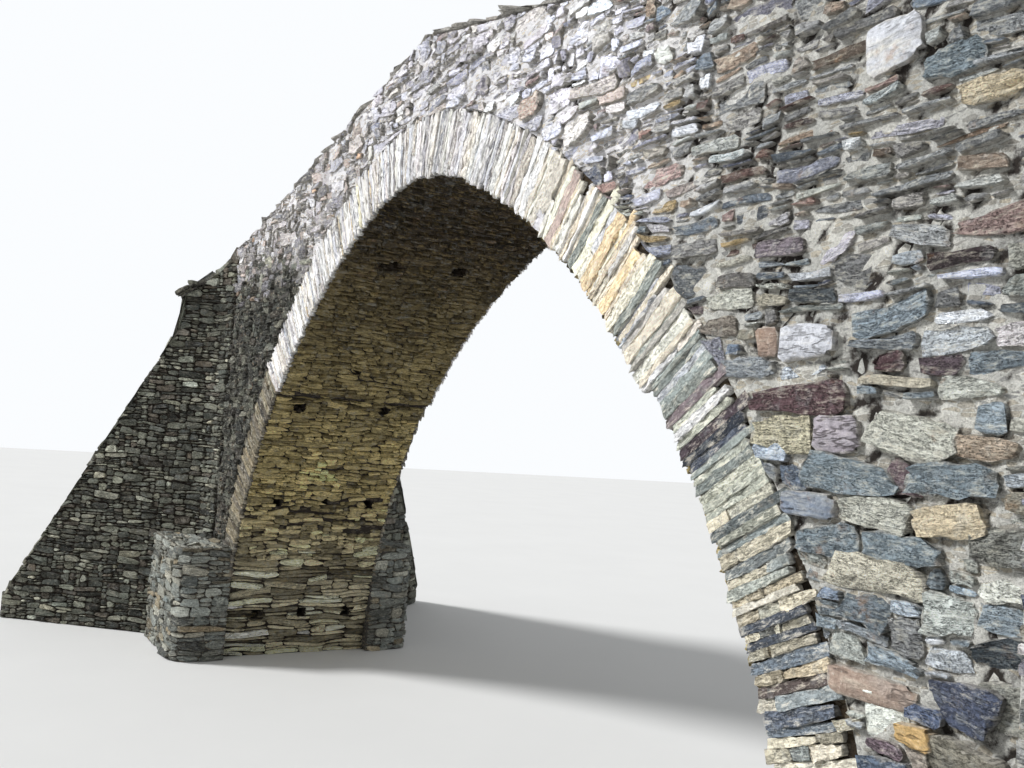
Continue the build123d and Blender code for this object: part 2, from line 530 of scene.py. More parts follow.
    def finish(self, material, slot, smooth=48):
        """Makes the piece from the faces as added, shades it smooth by angle and gives it its
        readings.
        """
        points = np.concatenate(self.points)
        quads = np.concatenate(self.quads)
        mesh = bpy.data.meshes.new(self.name)
        mesh.vertices.add(len(points))
        mesh.vertices.foreach_set("co", points.astype(np.float32).reshape(-1))
        mesh.loops.add(quads.size)
        mesh.loops.foreach_set("vertex_index", quads.astype(np.int32).reshape(-1))
        mesh.polygons.add(len(quads))
        mesh.polygons.foreach_set("loop_start", np.arange(0, quads.size, 4, dtype=np.int32))
        mesh.update(calc_edges=True)
        colours = np.c_[np.concatenate(self.tints), np.ones(len(points))]
        for name, kind, field, values in (
                ("tint", "FLOAT_COLOR", "color", colours),
                ("rim", "FLOAT", "value", np.concatenate(self.rims)),
                ("grain", "FLOAT_VECTOR", "vector", np.concatenate(self.grains))):
            reading = mesh.attributes.new(name, kind, "POINT")
            reading.data.foreach_set(field, values.astype(np.float32).reshape(-1))
        mesh.materials.append(material)
        piece = place_object(self.name, mesh)
        select_only(piece)
        bpy.ops.object.shade_smooth_by_angle(angle=math.radians(smooth))
        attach(piece, "root")
        laid.append((self.name, 2 * len(quads)))
        print(self.name, 2 * len(quads), "triangles")
        return piece


def quad_areas(x, y):
    """Twice the area of each four-sided face, from its corners."""
    return abs((x[..., 2] - x[..., 0]) * (y[..., 3] - y[..., 1])
               - (x[..., 3] - x[..., 1]) * (y[..., 2] - y[..., 0]))


def covered(s, t, quads):
    """Unrolled area of each stone."""
    return quad_areas(s[:, quads], t[:, quads]).sum(-1) / 2


laid = []
print("ready to lay")

# %% [markdown]
# ## Surfaces
# Flat faces need only a corner and two directions. The arch needs its own, which follow the tight
# arc over the crown and the wide arcs of the flanks. Each returns points for distances s, t and
# out, and s, t and out always make a right-handed set, so faces keep pointing outwards.

# %% Surfaces
def panel(corner, along, up):
    """A flat face of the bridge."""
    corner, along, up = (np.array(v, float) for v in (corner, along, up))
    out_of = np.cross(along, up)

    def surface(s, t, out):
        return corner + s[..., None] * along + t[..., None] * up + out[..., None] * out_of

    return surface


def arch_place(arc, shift):
    """(x, z) at a distance along the arch from the crown, moved outwards by a shift."""
    side = np.where(arc < 0, -1, 1)
    way = abs(arc)
    crown = way < CROWN_ARC
    angle = np.where(crown, way / CROWN_RADIUS, TURN + (way - CROWN_ARC) / FLANK_RADIUS)
    radius = np.where(crown, CROWN_RADIUS, FLANK_RADIUS) + shift
    x = np.where(crown, 0, -FLANK_X) + radius * np.sin(angle)
    z = np.where(crown, CROWN_Z, -CENTRE_DROP) + radius * np.cos(angle)
    return side * x, z


def ring_face(way):
    """The arch ring's face, with s along the arch and t outwards from its underside."""
    def surface(s, t, out):
        x, z = arch_place(way * s, t)
        return np.stack([x, np.full_like(x, way * -FACE) - way * out, z], -1)

    return surface


def underside(s, t, out):
    """The vault from below: s across, t along the arch, and out into the opening."""
    x, z = arch_place(t, -out + np.where(abs(t) > STEP_ARC, RECESS, 0))
    return np.stack([x, s, z], -1)


def clear_of_arch(x, z, gap):
    """Points that would lie on the ring, moved out to its edge."""
    side = np.where(x < 0, -1, 1)
    flank = np.arctan2(abs(x) + FLANK_X, z + CENTRE_DROP) > TURN
    middle_x = np.where(flank, -FLANK_X, 0)
    middle_z = np.where(flank, -CENTRE_DROP, CROWN_Z)
    radius = np.where(flank, FLANK_RADIUS, CROWN_RADIUS) + RING + gap
    reach = np.hypot(abs(x) - middle_x, z - middle_z)
    grow = np.maximum(radius / np.maximum(reach, 0.01), 1)
    return side * (middle_x + (abs(x) - middle_x) * grow), middle_z + (z - middle_z) * grow


def road_line(x):
    return ROAD_TOP - abs(x) * SLOPE


print("arch foot at", [round(float(v), 3) for v in arch_place(np.array(FOOT_ARC), 0)])

# %% [markdown]
# ## Stone finish
# Schist and slate are layered, so colour and relief run in fine lines along the bedding. The tint
# of each stone is laid with it, and the finish adds what a hand lens would find: lines, blotches,
# grit, rust from iron and pale lime washed from the joints over the rims. It also paints dirt and
# shade into the hollows round each stone, and painted shade of trees over the left end of the wall.

# %% Stone finish
def shaded(finish, spot, x_from=3.0, z_from=6.7, over=1.0):
    """1 low at the left end, where the wall is damp and has lost its mortar, and where painted
    shade of the trees falls.
    """
    x, z = finish.axis(spot, 0), finish.axis(spot, 2)
    return (-x_from - x).step(0, over) * (z_from - z).step(0, 0.8 * over)


def bleached(finish, spot):
    """1 over the crown and around the ring, where rain and lime whiten the wall."""
    x, z = finish.axis(spot, 0), finish.axis(spot, 2)
    return z.step(4.9, 6.4) * (5.6 - x).step(0, 2.0) * (1 - shaded(finish, spot))


CRACK_AND_DEEP_SHADE = (58, 52, 48)
DIRT_AND_SHADE = (40, 35, 31)
# A damp zone with painted shade, put far beyond the bridge so that it falls on nothing.
NOWHERE_DAMP_OR_SHADED = (30, 0, 1)    # a damp zone far beyond the bridge


def stone_finish(name, lines=1.0, lime=0.6, lime_tone=(226, 221, 210), rust=0.45, dirt_and_shade=0.75,
                 bite=1.0, vein_tone=(210, 205, 188), cracks=0.55, gain=0.0, bleach=0.0,
                 rust_tone=(182, 132, 78), damp_and_shade=(3.0, 6.7, 1.0), streaks=0.0):
    finish = Finish(name)
    tint, rim = finish.kept("tint", "Color"), finish.kept("rim", "Fac")
    grain = finish.kept("grain", "Vector")
    spot = finish.node("TexCoord", {}, {}, "Object")
    kind = finish.noise(finish.stretched(grain, (0, 0, 9)), 1.0, 0).step(0.36, 0.62)
    layers = finish.noise(finish.stretched(grain, (11, 75, 1)), 1.0, 5, 0.75)
    bands = finish.noise(finish.stretched(grain, (8, 26, 1)), 1.0, 5, 0.8)
    blotch = finish.noise(grain, 9.0, 5, 0.68)
    grit = finish.noise(spot, 110.0, 3, 0.7)
    patch = finish.noise(spot, 7.0, 5, 0.7)
    crumb = finish.noise(spot, 34.0, 5, 0.8)
    crack = 1 - (bands - 0.47).size().step(0.0, 0.03)
    seam = (layers - 0.40).size().step(0.0, 0.06)
    layered = kind * (0.95 * lines) + 0.35 * lines
    high = bleached(finish, spot) * bleach
    # Painted shade of the trees, with damp, darkens the stones at the left end and keeps lime off
    # them.
    wet_and_shaded = shaded(finish, spot, *damp_and_shade)
    shade = (layers - 0.5) * layered * 2.2 + blotch * 1.5 + crumb * 2.5 + grit * 0.6
    shade = shade + high * 1.15 - wet_and_shaded * 0.5 + (gain - 1.15)
    colour = finish.over(blotch.step(0.50, 0.66) * 0.4, tint, (132, 136, 136))
    colour = finish.over(bands.step(0.50, 0.66) * 0.5, colour, vein_tone)
    colour = finish.mix(1.0, colour, finish.grey(shade), "MULTIPLY")
    colour = finish.over(crack * layered * cracks, colour, CRACK_AND_DEEP_SHADE)
    iron = finish.noise(spot, 4.2, 4, 0.7).step(0.57, 0.70) * blotch.step(0.44, 0.60) * rust
    colour = finish.over(iron, colour, rust_tone)
    specks = high * 0.3 - wet_and_shaded * (0.6 * lime) + lime * 0.8
    colour = finish.over(crumb.step(0.56, 0.68) * specks, colour, lime_tone)
    limed = high * 0.3 - wet_and_shaded * (0.7 * lime) + lime
    wash = (rim * 0.55 + patch + high * 0.12).step(0.60, 0.82) * limed
    washed = finish.mix(crumb.step(0.35, 0.65), plain([c * 0.78 for c in lime_tone]),
                        plain(lime_tone))
    colour = finish.mix(wash, colour, washed)
    # Dirt and painted shade darken the hollow at the foot of each stone's skirt.
    hollow_shade = (rim + finish.noise(spot, 30.0, 2)).step(1.15, 1.55) * (dirt_and_shade - high * 0.5)
    colour = finish.over(hollow_shade, colour, DIRT_AND_SHADE)
    if streaks:
        dash = finish.noise(finish.stretched(spot, (26, 5.5, 26)), 1.0, 5, 0.8)
        colour = finish.over(dash.step(0.52, 0.64) * streaks, colour, (34, 28, 20))
        colour = finish.over((1 - dash).step(0.56, 0.70) * (0.5 * streaks), colour, (176, 156, 106))
    coarse = finish.bumped(blotch * 0.9 + bands * 0.7 + patch * 0.5, 0.035 * bite)
    relief = layers * layered + seam * 0.2 + crumb * 1.1 + grit * 0.25 - crack * layered * 0.5
    return finish.feed(Base_Color=colour, Roughness=0.66 + grit * 0.3,
                       Normal=finish.bumped(relief, 0.014 * bite, coarse))


print("stone finish ready")

# %% [markdown]
# ## Mortar finish
# The mortar is pale and sandy, with chips of stone pressed in. It is painted darker, as shade,
# where it lies deep in the joint, and goes nearly black at the left end, where the joints have lost
# it and painted shade of the trees falls.

# %% Mortar finish
def mortar_finish(name, light=(240, 238, 229), dark=(204, 204, 199), chips=0.6, bleach=1.0):
    finish = Finish(name)
    depth = finish.kept("rim", "Fac")
    spot = finish.node("TexCoord", {}, {}, "Object")
    sand = finish.noise(spot, 75.0, 4, 0.8)
    drift = finish.noise(spot, 3.0, 4, 0.65)
    lumps = finish.noise(spot, 24.0, 4, 0.7)
    colour = finish.mix(drift.step(0.3, 0.7), plain(light), plain(dark))
    colour = finish.over(bleached(finish, spot) * (0.6 * bleach), colour, (230, 228, 235))
    # Nearly black where the joints at the left end have lost their mortar, with painted shade of
    # the trees.
    colour = finish.over(shaded(finish, spot) * 0.9, colour, (52, 46, 40))
    cell = {"Vector": finish.stretched(spot, (1, 1, 2.6)), "Scale": 13.0}
    chip = finish.node("TexVoronoi", {}, cell, "Color")
    edge = finish.node("TexVoronoi", {"feature": "DISTANCE_TO_EDGE"}, cell)
    red, green = (finish.node("SeparateColor", {}, {0: chip}, k) for k in (0, 1))
    shown = red.step(0.52, 0.56) * edge.step(0.05, 0.12) * chips
    colour = finish.mix(shown, colour, finish.mix(green, plain((120, 122, 126)),
                                                  plain((205, 190, 160))))
    shade = sand * 1.4 + lumps * 1.5 + bleached(finish, spot) * (0.45 * bleach) - 0.36
    colour = finish.mix(1.0, colour, finish.grey(shade), "MULTIPLY")
    # Mortar deep in the joint is painted darker, as shade.
    colour = finish.over((depth + lumps).step(2.95, 3.35), colour, CRACK_AND_DEEP_SHADE)
    coarse = finish.bumped(lumps + shown * 0.5, 0.06)
    return finish.feed(Base_Color=colour, Normal=finish.bumped(sand, 0.02, coarse))


print("mortar finish ready")

# %% [markdown]
# ## Finishes for each part
# One recipe makes every stone, with other amounts for each part: much lime on the walls and the
# ring, little of it and dark streaks under the vault, and dirt with painted shade in the joints of
# the dry-laid wings.

# %% Finishes for each part
wall_stone = stone_finish("wall_stone", bleach=1.0, gain=0.28, bite=1.5)
# The ring's left foot under the ledge takes the same painted shade.
ring_stone = stone_finish("ring_stone", lime_tone=(240, 237, 231), rust=0.18, dirt_and_shade=0.7,
                          vein_tone=(232, 224, 206), cracks=0.3, gain=0.5,
                          rust_tone=(208, 172, 118), damp_and_shade=(4.0, 4.75, 0.4))
vault_stone = stone_finish("vault_stone", lines=0.9, lime=0.15, lime_tone=(168, 150, 100),
                           rust=0.35, dirt_and_shade=0.7, vein_tone=(150, 130, 84), gain=0.45, bite=1.5,
                           damp_and_shade=NOWHERE_DAMP_OR_SHADED, streaks=0.75)
dry_stone = stone_finish("dry_stone", lines=0.9, lime=0.25, lime_tone=(172, 164, 150), rust=0.15,
                         dirt_and_shade=0.9, vein_tone=(150, 142, 128), bite=1.4, gain=0.15,
                         damp_and_shade=NOWHERE_DAMP_OR_SHADED)
washed_stone = stone_finish("washed_stone", lines=0.9, lime=0.55, lime_tone=(200, 197, 182),
                            rust=0.2, dirt_and_shade=0.8, vein_tone=(172, 168, 152), bite=1.4, gain=0.2,
                            damp_and_shade=NOWHERE_DAMP_OR_SHADED)
wall_mortar = mortar_finish("wall_mortar")
finishes = (wall_stone, ring_stone, vault_stone, dry_stone, washed_stone, wall_mortar)
print("finishes:", [m.name for m in finishes])

# %% [markdown]
# ## Colours of the stone
# The same quarry gives grey-green, blue and violet schist, pale quartzite, brown and ochre beds.
# Each part of the bridge takes its own share of them, weathered in its own way.

# %% Colours of the stone
NEAR = [(5, (137, 146, 150)), (4, (156, 159, 160)), (3.5, (192, 192, 180)), (2, (121, 131, 144)),
        (0.8, (103, 88, 92)), (1.3, (146, 135, 122)), (0.8, (174, 165, 145)), (0.9, (87, 96, 115)),
        (0.8, (202, 209, 216)), (2, (204, 201, 186))]
HIGH = [(5, (193, 192, 203)), (4, (219, 219, 231)), (3, (166, 165, 176)), (2, (208, 201, 199)),
        (1.5, (140, 138, 149)), (1, (186, 169, 159)), (1.5, (228, 228, 228)),
        (0.7, (137, 122, 123))]
UPPER = [(4, (150, 150, 148)), (3, (168, 163, 157)), (2, (128, 126, 123)), (1.8, (158, 137, 118)),
         (1.4, (118, 126, 134)), (1, (176, 146, 136)), (1.4, (190, 190, 182)), (0.7, (124, 98, 90)),
         (0.7, (92, 97, 112)), (0.5, (186, 160, 116))]
FAR = [(4, (176, 172, 177)), (3, (203, 201, 205)), (3, (146, 144, 149)), (2, (193, 178, 172)),
       (2, (121, 119, 124)), (0.5, (191, 158, 132))]
DARK = [(3, (99, 101, 91)), (3, (131, 133, 119)), (3, (66, 69, 63)), (1.6, (168, 168, 152)),
        (1, (94, 88, 78))]
WASHED = [(4, (156, 160, 153)), (3, (134, 138, 132)), (2, (184, 183, 170)), (1.5, (110, 112, 107)),
          (1, (158, 146, 122))]
CROWN = [(5, (242, 240, 240)), (3, (237, 232, 224)), (2.5, (220, 218, 222)), (0.6, (226, 208, 178)),
         (0.9, (198, 200, 208)), (0.4, (166, 162, 164))]
HAUNCH = [(5, (226, 216, 197)), (3, (230, 225, 214)), (1.6, (212, 192, 158)), (2, (184, 188, 194)),
          (0.3, (170, 152, 144)), (1.4, (200, 196, 190))]
LEFT_FOOT = [(4, (134, 123, 100)), (3, (110, 103, 90)), (2, (158, 148, 122)), (2, (86, 81, 74))]
FOOT = [(4, (120, 130, 140)), (3, (98, 106, 119)), (2, (152, 158, 158)), (1.2, (130, 114, 108)),
        (1.5, (88, 93, 100)), (1.5, (206, 200, 183))]
FLANK = [(4, (156, 164, 160)), (3, (182, 184, 170)), (2, (132, 142, 144)), (2, (206, 200, 180)),
         (1, (110, 98, 100))]
PACKED = [(3, (212, 205, 184)), (2, (198, 193, 178)), (2, (176, 168, 148)), (1, (160, 164, 160))]
SLATE = [(1, (98, 84, 92)), (1, (84, 92, 108))]


def draw(random, palette, count, spread=0.22):
    """Tints for some stones, each a little lighter, darker, warmer or cooler than its kind."""
    weights = np.array([w for w, _ in palette], float)
    kinds = np.array([tone(*c) for _, c in palette])
    picked = kinds[random.choice(len(kinds), count, p=weights / weights.sum())]
    light = random.normal(1, spread, (count, 1)).clip(0.4, 1.7)
    warm = random.normal(0, 0.025, (count, 1))
    return np.clip(picked * light * (1 + warm * np.array([1, 0, -1])), 0.004, 0.9)


def blend_draw(random, first, second, share):
    """Tints from the second palette where share is near 1, else from the first."""
    chosen = random.random(len(share)) < share
    others = draw(random, second, len(share), 0.32)
    return np.where(chosen[:, None], others, draw(random, first, len(share)))


def repaint(random, tints, chosen, palette, spread=0.22, light=1):
    """Gives the chosen stones a tint from another palette."""
    return np.where(chosen[:, None], draw(random, palette, len(tints), spread) * light, tints)


def ramp(value, low, high):
    return np.clip((value - low) / (high - low), 0, 1)


def centres(cells):
    return (cells[:, 0] + cells[:, 1]) / 2, (cells[:, 2] + cells[:, 3]) / 2


print("palettes ready")

# %% [markdown]
# ## Sizes of the stones
# The wall's right end is built of long flat stones low down, some as thick as a hand is long, with
# thin slabs packed between. Higher up and over the crown the stones are smaller and thinner. A
# table holds each kind of masonry, and a rule picks one by chance and by the place on the wall, so
# that the kinds run into each other with no sharp line.

# %% Sizes of the stones
# Heights of stones, how common each is, length over height, and the least and greatest length.
MASONRY = {
    "low": ((0.045, 0.08, 0.13, 0.18, 0.22), (0.22, 0.24, 0.25, 0.19, 0.10), (1.4, 3.8),
            (0.14, 0.66)),
    "high": ((0.035, 0.055, 0.08, 0.12), (0.22, 0.32, 0.28, 0.18), (2.0, 6.0), (0.12, 0.52)),
    "left": ((0.06, 0.09, 0.12, 0.15), (0.25, 0.3, 0.3, 0.15), (1.3, 3.2), (0.12, 0.36)),
    "crown": ((0.035, 0.06, 0.09, 0.14, 0.20), (0.22, 0.28, 0.26, 0.16, 0.08), (1.2, 4.2),
              (0.11, 0.45)),
    "vault": ((0.035, 0.055, 0.085), (0.3, 0.4, 0.3), (1.4, 6.0), (0.09, 0.42)),
    "slabs": ((0.04, 0.06, 0.085, 0.12), (0.22, 0.32, 0.28, 0.18), (1.3, 4.2), (0.10, 0.38)),
    "coarse": ((0.06, 0.09, 0.13, 0.17), (0.3, 0.35, 0.25, 0.1), (1.5, 4.5), (0.14, 0.55)),
}


def stone_size(random, kind, uneven=0.15):
    """Height and length of the next stone of a kind of masonry."""
    heights, shares, long_by, limits = MASONRY[kind]
    tall = random.choice(heights, p=shares)
    return (tall * random.uniform(1 - uneven, 1 + uneven),
            float(np.clip(tall * random.uniform(*long_by), *limits)))


def sized(kind, taller=1, longer=1):
    """A rule that draws stones of one kind, all of them enlarged."""
    def sizes(random, s, t):
        tall, long = stone_size(random, kind)
        return taller * tall, longer * long

    return sizes


def wall_sizes(random, s, t):
    """Picks the kind of masonry by its place on the front wall."""
    if random.random() < (s > 2.5) * ramp(5.6 - t, 0, 1.6):
        return stone_size(random, "low")
    if random.random() < ramp(s, 2.8, 4.2) * ramp(7.0 - t, 0, 0.8):
        return stone_size(random, "high")
    return stone_size(random, "left" if s < -3.3 and t < 6.4 else "crown")


def back_wall_sizes(random, s, t):
    tall, long = wall_sizes(random, -s, t)
    return 1.35 * tall, 1.3 * long


tries = [stone_size(np.random.default_rng(k), "low") for k in range(3)]
print("kinds of masonry:", list(MASONRY), "three low stones:", np.round(tries, 2).tolist())

# %% [markdown]
# ## Stones that stand out
# A few stones catch the eye on the front wall: a purple slab, round quartz boulders, straw-coloured
# and blue slabs near the ring. Chance would not put them there, so they are set one by one, and
# the stones that would lie under them are left out.

# %% Stones that stand out
KINDS = {"purple": (92, 70, 74), "straw": (200, 194, 168), "violet": (150, 143, 150),
         "pale": (196, 197, 186), "tan": (176, 160, 142), "blue": (126, 139, 147),
         "slate": (106, 116, 132), "cream": (204, 190, 162), "white": (178, 180, 186),
         "brown": (136, 118, 106), "ochre": (180, 151, 104), "navy": (76, 84, 104)}
ROUND = ("white", "slate", "violet", "ochre", "brown")
KNOWN = [(5.61, 4.29, 0.72, 0.20, "purple"), (5.52, 4.07, 0.46, 0.22, "straw"),
         (5.91, 4.09, 0.31, 0.23, "violet"), (6.38, 4.10, 0.51, 0.24, "pale"),
         (6.79, 4.05, 0.33, 0.13, "tan"), (6.00, 3.86, 0.60, 0.21, "blue"),
         (5.74, 3.67, 0.39, 0.16, "slate"), (6.61, 3.88, 0.50, 0.18, "blue"),
         (6.61, 3.67, 0.40, 0.18, "cream"), (6.17, 3.67, 0.45, 0.18, "pale"),
         (5.87, 3.48, 0.43, 0.18, "blue"), (6.34, 3.48, 0.49, 0.19, "blue"),
         (5.66, 4.63, 0.42, 0.22, "white"), (5.36, 4.64, 0.20, 0.20, "brown"),
         (6.23, 4.49, 0.18, 0.12, "purple"), (6.15, 6.30, 0.38, 0.30, "white"),
         (6.53, 6.08, 0.34, 0.17, "blue"), (6.21, 2.74, 0.55, 0.16, "brown"),
         (6.48, 2.57, 0.23, 0.13, "ochre"), (6.73, 2.79, 0.35, 0.23, "navy"),
         (6.75, 5.87, 0.37, 0.14, "cream")]


def lay_known(wall, surface):
    """Sets the few stones that stand out on the front wall."""
    boxes = np.array([(x - long / 2, x + long / 2, z - tall / 2, z + tall / 2)
                      for x, z, long, tall, _ in KNOWN])
    tints = np.array([tone(*KINDS[kind]) for *_, kind in KNOWN]) * 1.15
    rounded = np.array([kind in ROUND for *_, kind in KNOWN])
    wall.lay(COBBLES, boxes[rounded], surface, tints[rounded], (0.06, 0.08), 0.012, wave=0.0,
             turn=0.03, lean=0.1, skew=0.05, veins=0.08, rough=0.25)
    wall.lay(BIG, boxes[~rounded], surface, tints[~rounded], (0.05, 0.07), 0.012, wave=0.0)


def near_known(x, z):
    """Whether a point lies on one of those stones."""
    return np.any([(abs(x - a) < 0.52 * long + 0.01) & (abs(z - b) < 0.52 * tall + 0.01)
                   for a, b, long, tall, _ in KNOWN], 0)


print("stones set one by one:", len(KNOWN))

# %% [markdown]
# ## Spandrel walls and parapets
# The two long walls are laid from the ground to the parapet's top in one go, since the masonry runs
# through. Stones under the arch or behind a wing are left out. The tints follow the weather and the
# light: white over the crown, darker and almost dry at the left end, where painted shade of the
# trees falls too, loose and brown high on the right.

# %% Walls
MARGIN = 0.012             # stones stop this far short of an edge
WALL_TOP = 8.45
BEHIND_WING = (0.03, 1.15)     # stones this far past the corner are hidden by the wing,
WING_LINE = (6.82, 0.467)      # under a line of this height at the corner and this fall
BIG_FACE, MIDDLE_FACE = 0.03, 0.0075


def wall_region(x, z):
    x, z = clear_of_arch(x, z, MARGIN)
    return (np.clip(x, -END + 0.01, END - 0.01),
            np.clip(z, 0.01, road_line(x) + PARAPET - MARGIN))


def in_wing(x, z):
    """Whether a point of the wall is hidden behind a wing."""
    beyond = abs(x) - CORNER
    hidden = (beyond > BEHIND_WING[0]) & (beyond < BEHIND_WING[1])
    return hidden & (z < WING_LINE[0] - WING_LINE[1] * beyond)


def side_face(way):
    return panel((0, -way * FACE, 0), (way, 0, 0), (0, 0, 1))


def lay_wall(name, way, seed):
    wall = Wall(name, seed)
    random = wall.random
    cells = build_up(random, -END, END, 0, WALL_TOP, wall_sizes if way > 0 else back_wall_sizes)
    x, z = centres(cells)
    moved_x, moved_z = clear_of_arch(x, z, 0)
    keep = np.hypot(moved_x - x, moved_z - z) < 0.2
    keep &= (z < road_line(x) + PARAPET + 0.1) & ~in_wing(x, z)
    if way > 0:
        keep &= ~near_known(x, z)
    cells, x, z = cells[keep], x[keep], z[keep]
    count = len(x)

    tints = blend_draw(random, HIGH, NEAR, ramp(x, 1.5, 3.5) * ramp(5.9 - z, -0.4, 1.4))
    tints = repaint(random, tints, random.random(count) < ramp(-x, 0.5, 3), FAR)
    upper = 0.85 * ramp(x, 3.0, 4.8) * ramp(z, 4.6, 5.4)
    tints = repaint(random, tints, random.random(count) < upper, UPPER, 0.3)
    # The left end takes darker stones, dimmed further as painted shade of the trees.
    damp_and_shade = ramp(-x, 2.9, 4.0) * ramp(6.7 - z, 0, 0.9)
    tints = repaint(random, tints, random.random(count) < damp_and_shade, DARK, 0.5, 0.78)
    tints = tints * (1 - 0.05 * ramp(x, 2, 4)[:, None] * np.array([1, 0, -1.4]))
    drift = 0.10 * swell(x, z, 31, 1.6)
    tints = tints * (1 + drift + 0.42 * ramp(x, 4.0, 5.5) * ramp(4.0 - z, 0, 1.5))[:, None]
    over_crown = 0.22 * ramp(x, 0.8, 2) * ramp(5 - x, 0, 1.5) * ramp(z, 6.0, 6.6)
    tints = tints * (1 + over_crown - 0.16 * ramp(-x, 0.5, 2))[:, None]

    loose = ramp(x, 2.6, 4.2) * ramp(z, 4.2, 5.0)
    cells[:, 3] -= random.uniform(0, 0.38, count) * loose * (cells[:, 3] - cells[:, 2])
    cells[:, 1] -= random.uniform(0, 0.15, count) * loose * (cells[:, 1] - cells[:, 0])
    area = (cells[:, 1] - cells[:, 0]) * (cells[:, 3] - cells[:, 2])
    surface = side_face(way)
    for models, part in ((BIG, area > BIG_FACE),
                         (MIDDLE, (area <= BIG_FACE) & (area > MIDDLE_FACE)),
                         (SMALL, area <= MIDDLE_FACE)):
        wall.lay(models, cells[part], surface, tints[part], (0.018, 0.07), 0.013, wall_region,
                 tilt=0.03, wave=0.014)
    if way > 0:
        lay_known(wall, surface)
    wall.finish(wall_stone, "rubble")


lay_wall("front_wall_stones", 1, 5)
lay_wall("back_wall_stones", -1, 6)

# %% [markdown]
# ## Mortar of the walls
# Mortar fills the joints to an uneven depth: flush and smeared in some places, washed out in
# others. A rough sheet a little proud of the solid wall does that, and stones stand out of it.

# %% Mortar of the walls
MORTAR_TOP = 8.42


def mortar_level(s, t):
    high = ramp(t, 5.5, 6.9) * ramp(4.4 - s, 0, 2.6)
    return 0.013 + 0.010 * high + 0.009 * swell(s, t, 21, 1.1) + 0.010 * swell(s, t, 22, 0.20)


def lay_mortar(name, way, seed, step):
    bed = Wall(name, seed)
    bed.bed(-END, END, 0.0, MORTAR_TOP, step, side_face(way), mortar_level, tone(214, 203, 178),
            wall_region)
    bed.finish(wall_mortar, "rubble", 60)


lay_mortar("front_wall_mortar", 1, 7, 0.06)
lay_mortar("back_wall_mortar", -1, 8, 0.08)

# %% [markdown]
# ## Arch ring
# The ring is the bridge's best work: thin slabs on edge, all pointing to the centre of their arc.
# They are a few centimetres thick over the crown and twice that low on the right flank, where grey
# slabs and pale ones take turns. Ends are ragged, so the ring's edges step in and out.

# %% Arch ring
# Distances along the arch from the crown, positive to the right.
THIN_END = 2.2             # thin slabs as far as this
THICK_END = 5.2            # and the thickest as far as this
SLATES = 5.66              # a pair of dark slabs
PACKED_FROM = 6.3          # slabs in short lengths, packed out with pale ones


def slab_run(random, thickness_at):
    """Cells of slabs from one foot of the arch to the other."""
    cells = []
    arc = -FOOT_ARC - 0.05
    packed = False
    while arc < FOOT_ARC + 0.05:
        thick = thickness_at(random, arc)
        inner = RECESS if abs(arc) > STEP_ARC else 0
        low = inner + random.normal(-0.012, 0.014)
        high = RING + random.normal(0.0, 0.025 if arc < THIN_END else 0.05)
        packed = not packed
        if packed and arc > PACKED_FROM:
            pieces = random.integers(2, 5)
        else:
            pieces = 1 + (random.random() < 0.16)
        cuts = np.sort(np.r_[low, random.uniform(low + 0.1, high - 0.1, pieces - 1), high])
        cells += [(arc, arc + thick, *ends) for ends in zip(cuts[:-1], cuts[1:])]
        arc += thick
    return np.array(cells)


def front_thickness(random, arc):
    if arc < -STEP_ARC:
        return random.choice([0.04, 0.06, 0.09]) * random.uniform(0.85, 1.2)
    if arc < THIN_END:
        return random.choice([0.018, 0.026, 0.036, 0.05]) * random.uniform(0.85, 1.2)
    if arc < THICK_END:
        return random.choice([0.03, 0.05, 0.08, 0.11]) * random.uniform(0.85, 1.15)
    return random.choice([0.05, 0.065, 0.085]) * random.uniform(0.85, 1.15)


def ring_region(s, t):
    """Keeps slabs above the ground."""
    x, z = arch_place(s, t)
    low = z < MARGIN
    angle = np.arccos(np.clip((CENTRE_DROP + MARGIN) / (FLANK_RADIUS + t), 0, 1))
    limit = CROWN_ARC + FLANK_RADIUS * (angle - TURN)
    return np.where(low, np.sign(s) * limit, s), t


def lay_ring(name, way, seed):
    ring = Wall(name, seed)
    random = ring.random
    cells = slab_run(random, front_thickness)
    arc = (cells[:, 0] + cells[:, 1]) / 2
    count = len(arc)
    tints = blend_draw(random, CROWN, HAUNCH, ramp(arc, 1.6, 3.2))
    tints = tints * (1 + 0.08 * ramp(arc, 2.0, 3.2) - 0.3 * ramp(arc, 4.0, 5.4))[:, None]
    flank = 0.2 * ramp(arc, 3.2, 4.0) + 0.7 * ramp(arc, 4.9, 5.7)
    tints = repaint(random, tints, random.random(count) < flank, FLANK)
    tints = repaint(random, tints, abs(arc - SLATES) < 0.09, SLATE)
    foot = ramp(arc, 6.0, 6.9)
    tints = repaint(random, tints, random.random(count) < foot, FOOT, light=0.95)
    short = (arc > PACKED_FROM - 0.1) & (cells[:, 3] - cells[:, 2] < 0.42)
    tints = repaint(random, tints, short, PACKED)
    tints = repaint(random, tints, arc < -STEP_ARC, LEFT_FOOT, 0.35)
    if way < 0:
        cells = np.c_[-cells[:, 1], -cells[:, 0], cells[:, 2:]]
    ring.lay(LONG, cells, ring_face(way), tints, (0.03, 0.055), 0.002, ring_region, tilt=0.01,
             upright=True, turn=0.004, wave=0.0, least=0.0004, lean=0.15, skew=0.14)
    ring.finish(ring_stone, "arch_slabs")


lay_ring("front_ring_slabs", 1, 15)
lay_ring("back_ring_slabs", -1, 16)

# %% [markdown]
# ## Underside of the vault
# From below, the vault shows the edges of slabs that run across the bridge. They are rough and
# open-jointed, near black at the damp crown, partly as painted shade, ochre on the flanks and pale
# near the ground, partly as painted light. The square sockets of the timber centring stay open.

# %% Underside of the vault
FLAGS_ARC = 8.2            # beyond this, the foot is built of long flags


